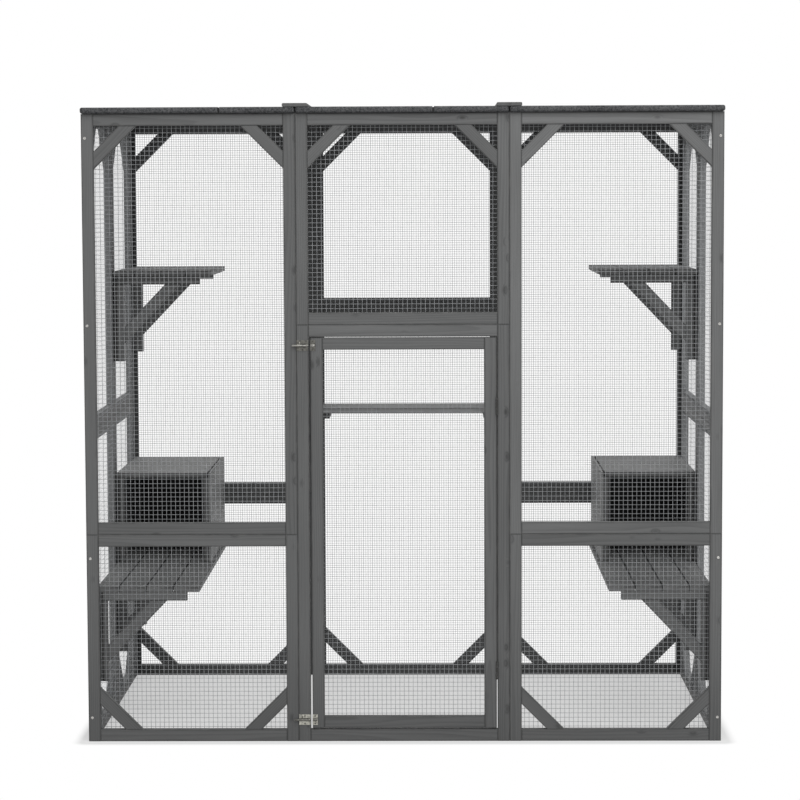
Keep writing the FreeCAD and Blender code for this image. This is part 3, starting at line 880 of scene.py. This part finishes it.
# Dens
# Boxes of thin stained board, open to the front: two sides and a back nailed to four corner posts, and a
# thicker top with a front lip, behind the inner side and over the outer one. Each stands on the back half of
# its platform. The lip, the back, the posts and the outer side's front edge are painted dark as shade, the
# top's ends are painted near black as shade, and the top and the inner side are painted paler as light.
den_wall = 0.008
den_top = 0.014
den_post = 0.016
den_lip = 0.004
den_gap = 0.003
den_rounding = 0.0008
den_post_shade_tone = 0.45
den_back_shade_tone = 0.06
den_top_light_tone = 1.12
den_lip_shade_tone = 0.42
den_inner_light_tone = 1.2
den_outer_tone = 1.0
den_edge_shade_tone = 0.15
den_side_end_shade = 0.0
den_top_end_shade = 1.9
den_stain = stained_wood("den_stain", (0.238, 0.240, 0.240), ring_width=0.0065, figure_strength=0.5,
                         wear=0.1)
for wall in ("left", "right"):
    low, high = node_box(f"{wall}_den")
    inner_left, inner_right = low[0] + den_wall, high[0] - den_wall
    edge_y = low[1] + den_lip
    top_under = high[2] - den_top
    if wall == "left":
        inner_x, outer_x = high[0] - den_wall / 2, low[0] + den_wall / 2
        top_left, top_right = low[0], inner_right - den_gap
    else:
        inner_x, outer_x = low[0] + den_wall / 2, high[0] - den_wall / 2
        top_left, top_right = inner_left + den_gap, high[0]
    boards = []
    for x, front, back, height, tone in ((inner_x, low[1], high[1], high[2], den_inner_light_tone),
                                         (outer_x, low[1], edge_y, top_under, den_edge_shade_tone),
                                         (outer_x, edge_y, high[1], top_under, den_outer_tone)):
        z = (low[2] + height) / 2
        boards.append(board((x, front, z), (x, back, z), up, height - low[2], den_wall, rounding=den_rounding,
                            tone=tone, end_painted_shade=den_side_end_shade))
    z = high[2] - den_top / 2
    for front, back, tone in ((low[1], edge_y, den_lip_shade_tone), (edge_y, high[1], den_top_light_tone)):
        y = (front + back) / 2
        boards.append(board((top_left, y, z), (top_right, y, z), backwards, back - front, den_top,
                            rounding=den_rounding, tone=tone, end_painted_shade=den_top_end_shade))
    y, z = high[1] - den_wall / 2, (low[2] + top_under) / 2
    boards.append(board((inner_left, y, z), (inner_right, y, z), up, top_under - low[2], den_wall,
                        rounding=den_rounding, tone=den_back_shade_tone))
    for x in (inner_left + den_post / 2, inner_right - den_post / 2):
        for y in (low[1] + den_post / 2, high[1] - den_wall - den_post / 2):
            post_ends = (x, y, low[2]), (x, y, top_under)
            boards.append(board(*post_ends, sideways, den_post, den_post, tone=den_post_shade_tone))
    put(f"{wall}_den_box", join(boards), den_stain, "enclosure", f"{wall}_den")

# Bridge
# One stained plank across the middle of the back wall, resting on two cleats that are screwed to the wall's
# stiles.
# The plank is painted much paler than the stain, as a painted sheen.
bridge_sheen_tone = 1.85
bridge_drop = 0.004
cleat_drop = 0.0055
cleat_reach = 0.058
low, high = node_box("bridge_plank")
low[2] -= bridge_drop
middle = (low + high) / 2
bridge = board((low[0], *middle[1:]), (high[0], *middle[1:]), backwards, high[1] - low[1], high[2] - low[2],
               tone=bridge_sheen_tone)
put("bridge_board", bridge, plank_stain, "enclosure", "bridge_plank")
low, high = node_box("bridge_cleats")
low[2] -= cleat_drop
high[2] -= bridge_drop
z = (low[2] + high[2]) / 2
cleats = [board((x, low[1], z), (x, high[1], z), sideways, cleat_reach, high[2] - low[2])
          for x in (low[0] + cleat_reach / 2, high[0] - cleat_reach / 2)]
put("bridge_cleat_pair", join(cleats), batten_stain, "enclosure", "bridge_cleats")

# Roof
# A board over each bay, with mineral felt turned down over its edges, in two sheets over the first two bays,
# and a stained cap over each joint between the bays. The boards are screwed down to the top rails.
felt_corner = 0.008
felt_top_round = 0.0055
felt_bottom_round = 0.0065
felt_clear = 0.0003
board_inset = 0.007
short_sheet = 0.212
sheet_gap = 0.0045
# The boards are painted near black, as shade seen in the gaps between the felt sheets.
decking_shade_tone = 0.15
decking_rounding = 0.0006
cap_width = 0.071
cap_tone = 1.2
cap_rounding = 0.003
# The caps' ends are painted darker as shade.
cap_end_shade = 0.7
round_turns = np.radians(np.linspace(0, 90, 6))


def turned_down_felt(low, high, square_end=0):
    """A sheet turned down over a board: a rounded rectangle in plan, drawn in by the rim's inset and set at
    its height. The rim is a quarter circle under, a straight edge and a quarter circle over. A square end, to
    the left where it is -1 and to the right where it is 1, lies in one plane instead."""
    inset = np.concatenate([felt_bottom_round * (1 - np.sin(round_turns)),
                            felt_top_round * (1 - np.cos(round_turns))])
    rise = np.concatenate([low[2] + felt_bottom_round * (1 - np.cos(round_turns)),
                           high[2] - felt_top_round * (1 - np.sin(round_turns))])
    turn, way_x, way_y = corner_ring(round_turns)
    middle, half = (low + high) / 2, (high - low) / 2 - felt_corner
    radius = felt_corner - inset[:, None]
    x = middle[0] + way_x * half[0] + radius * np.cos(turn)
    y = middle[1] + way_y * half[1] + radius * np.sin(turn)
    if square_end:
        x = np.where(square_end * (x - middle[0]) > 0, (low if square_end < 0 else high)[0], x)
    points = np.stack([x, y, rise[:, None] + 0 * x], axis=-1)
    return tubes(points[None])


# Felt granules: one cell each with its own shade, in clusters, over broad weathering.
granule_scale = 520.0
granule_weight = 0.5
cluster_scale = 150.0
cluster_weight = 0.9
weather_scale = 7.0
weather_weight = 0.3
shade_start = 0.45
shade_full = 1.25
dark_granule = (0.020, 0.021, 0.023, 1)
pale_granule = (0.150, 0.152, 0.156, 1)
felt_roughness = 0.75
shade_roughness = 0.15
granule_bump = 0.6
granule_relief = 0.0012
felt_gloss = 0.25
roofing_felt, felt_tree, felt_shader = new_material("roofing_felt")
felt_place = object_place(felt_tree)
granules = add(felt_tree, "ShaderNodeTexVoronoi", {"Vector": felt_place, "Scale": granule_scale}).outputs
felt_shade = calc("MULTIPLY", noise(felt_place, weather_scale, detail=3.0), weather_weight)
felt_shade = calc("MULTIPLY_ADD", noise(felt_place, cluster_scale, detail=3.0), cluster_weight, felt_shade)
felt_shade = calc("MULTIPLY_ADD", granules["Color"], granule_weight, felt_shade)
relief = {"Height": granules["Distance"], "Strength": granule_bump, "Distance": granule_relief}
feed(felt_shader, {
    "Base Color": mix(ease(felt_shade, shade_start, shade_full), dark_granule, pale_granule),
    "Roughness": calc("MULTIPLY_ADD", felt_shade, shade_roughness, felt_roughness),
    "Normal": add(felt_tree, "ShaderNodeBump", relief).outputs["Normal"],
    "Specular IOR Level": felt_gloss,
})

for bay in ("left", "centre", "right"):
    low, high = node_box(f"roof_{bay}_felt")
    board_low, board_high = node_box(f"roof_{bay}_board")
    x, z = (board_low + board_high)[[0, 2]] / 2
    decking = board((x, low[1] + board_inset, z), (x, high[1] - board_inset, z), sideways,
                    board_high[0] - board_low[0] - 2 * board_inset, board_high[2] - board_low[2],
                    rounding=decking_rounding, tone=decking_shade_tone)
    put(f"roof_{bay}_decking", decking, plank_stain, "enclosure", f"roof_{bay}_board")
    low[2] += felt_clear
    if bay == "right":
        sheets = [turned_down_felt(low, high)]
    else:
        split = high[0] - short_sheet
        long_high, short_low = high.copy(), low.copy()
        long_high[0], short_low[0] = split - sheet_gap / 2, split + sheet_gap / 2
        sheets = [turned_down_felt(low, long_high, 1), turned_down_felt(short_low, high, -1)]
    node = f"roof_{bay}_felt"
    put(node + "_sheets", join(sheets), roofing_felt, "enclosure", node)

low, high = node_box("roof_caps")
z = (low[2] + high[2]) / 2
caps = [board((x, low[1], z), (x, high[1], z), sideways, cap_width, high[2] - low[2], rounding=cap_rounding,
              tone=cap_tone, end_painted_shade=cap_end_shade)
        for x in (low[0] + cap_width / 2, high[0] - cap_width / 2)]
put("roof_cap_boards", join(caps), batten_stain, "enclosure", "roof_caps")

# Floor
# A plain pale sheet under the enclosure, which takes its shadow and turns white away from it.
floor_reach = 9.0
floor_level = -0.0004
floor_colour = (0.72, 0.72, 0.72, 1)
floor_roughness = 0.9
fade_start = -0.01
fade_end = 0.05
inside_white = 0.5
white = (1, 1, 1, 1)
floor_mesh = bpy.data.meshes.new("floor")
floor_corners = np.array([(-1, -1), (1, -1), (1, 1), (-1, 1)]) * floor_reach
floor_mesh.from_pydata([(x, y, floor_level) for x, y in floor_corners], [], [(0, 1, 2, 3)])
floor = to_scene("floor", floor_mesh)
pale_floor, floor_tree, floor_shader = new_material("pale_floor")
floor_place = add(floor_tree, "ShaderNodeSeparateXYZ", {0: object_place(floor_tree)}).outputs
past_walls = [calc("SUBTRACT", calc("ABSOLUTE", floor_place[axis]), float(cad_high[axis])) for axis in (0, 1)]
gap_x, gap_y = (calc("MAXIMUM", past, 0.0) for past in past_walls)
gap = calc("SQRT", calc("ADD", calc("MULTIPLY", gap_x, gap_x), calc("MULTIPLY", gap_y, gap_y)))
floor_seen = add(floor_tree, "ShaderNodeLightPath").outputs
seen_white = calc("MAXIMUM", floor_seen["Is Camera Ray"], floor_seen["Is Glossy Ray"])
floor_white = calc("MULTIPLY", calc("MAXIMUM", ease(gap, fade_start, fade_end), inside_white), seen_white)
feed(floor_shader, {"Base Color": floor_colour, "Roughness": floor_roughness})
floor_glow = add(floor_tree, "ShaderNodeEmission", {"Color": white, "Strength": 1.0})
floor_parts = {0: floor_white, 1: floor_shader.outputs[0], 2: floor_glow.outputs[0]}
floor_mix = add(floor_tree, "ShaderNodeMixShader", floor_parts)
feed(floor_tree.nodes["Material Output"], {"Surface": floor_mix.outputs[0]})
floor_mesh.materials.append(pale_floor)

# Light
# A white studio: even light from all round, white where it is seen, and a broad soft lamp high in front.
sky_strength = 0.42
lamp_place = (0.8, -3.3, 5.2)
lamp_target = (0.0, 0.0, 0.9)
lamp_size = 3.5
lamp_watts = 175.0
world = bpy.data.worlds.new("studio")
bpy.context.scene.world = world
world.use_nodes = True
sky_tree = world.node_tree
sky_seen = add(sky_tree, "ShaderNodeLightPath").outputs
sky_white = calc("MAXIMUM", calc("MAXIMUM", sky_seen["Is Camera Ray"], sky_seen["Is Glossy Ray"]),
                 sky_seen["Is Transmission Ray"])
sky_light = feed(sky_tree.nodes["Background"], {"Color": white, "Strength": sky_strength})
white_sky = add(sky_tree, "ShaderNodeBackground", {"Color": white, "Strength": 1.0})
sky_parts = {0: sky_white, 1: sky_light.outputs[0], 2: white_sky.outputs[0]}
sky_mix = add(sky_tree, "ShaderNodeMixShader", sky_parts)
feed(sky_tree.nodes["World Output"], {"Surface": sky_mix.outputs[0]})
lamp = bpy.data.lights.new("key_lamp", "AREA")
lamp.shape = "SQUARE"
lamp.size = lamp_size
lamp.energy = lamp_watts
back = np.array(lamp_place) - np.array(lamp_target)
lamp_turn = math.atan2(back[0], -back[1])
lamp_tilt = math.atan2(math.hypot(back[0], back[1]), back[2])
to_scene("key_lamp", lamp).matrix_world = (Matrix.Translation(lamp_place) @ Matrix.Rotation(lamp_turn, 4, "Z")
                                           @ Matrix.Rotation(lamp_tilt, 4, "X"))

# Camera
# A long lens in front of the door, at eye height and tilted a little down, as the photograph was taken.
camera_place = (0.09225, -7.80758, 1.55626)
camera_yaw = 0.0138654
camera_pitch = 0.0796700
camera_roll = -0.0040000
lens_length = 116.72
film_width = 36.0
camera = bpy.data.cameras.new("camera")
camera.lens = lens_length
camera.sensor_width = film_width
camera_object = to_scene("camera", camera)
camera_object.matrix_world = (Matrix.Translation(camera_place) @ Matrix.Rotation(camera_yaw, 4, "Z")
                              @ Matrix.Rotation(math.pi / 2 - camera_pitch, 4, "X")
                              @ Matrix.Rotation(camera_roll, 4, "Z"))
bpy.context.scene.camera = camera_object
bpy.context.scene.view_settings.view_transform = "Standard"
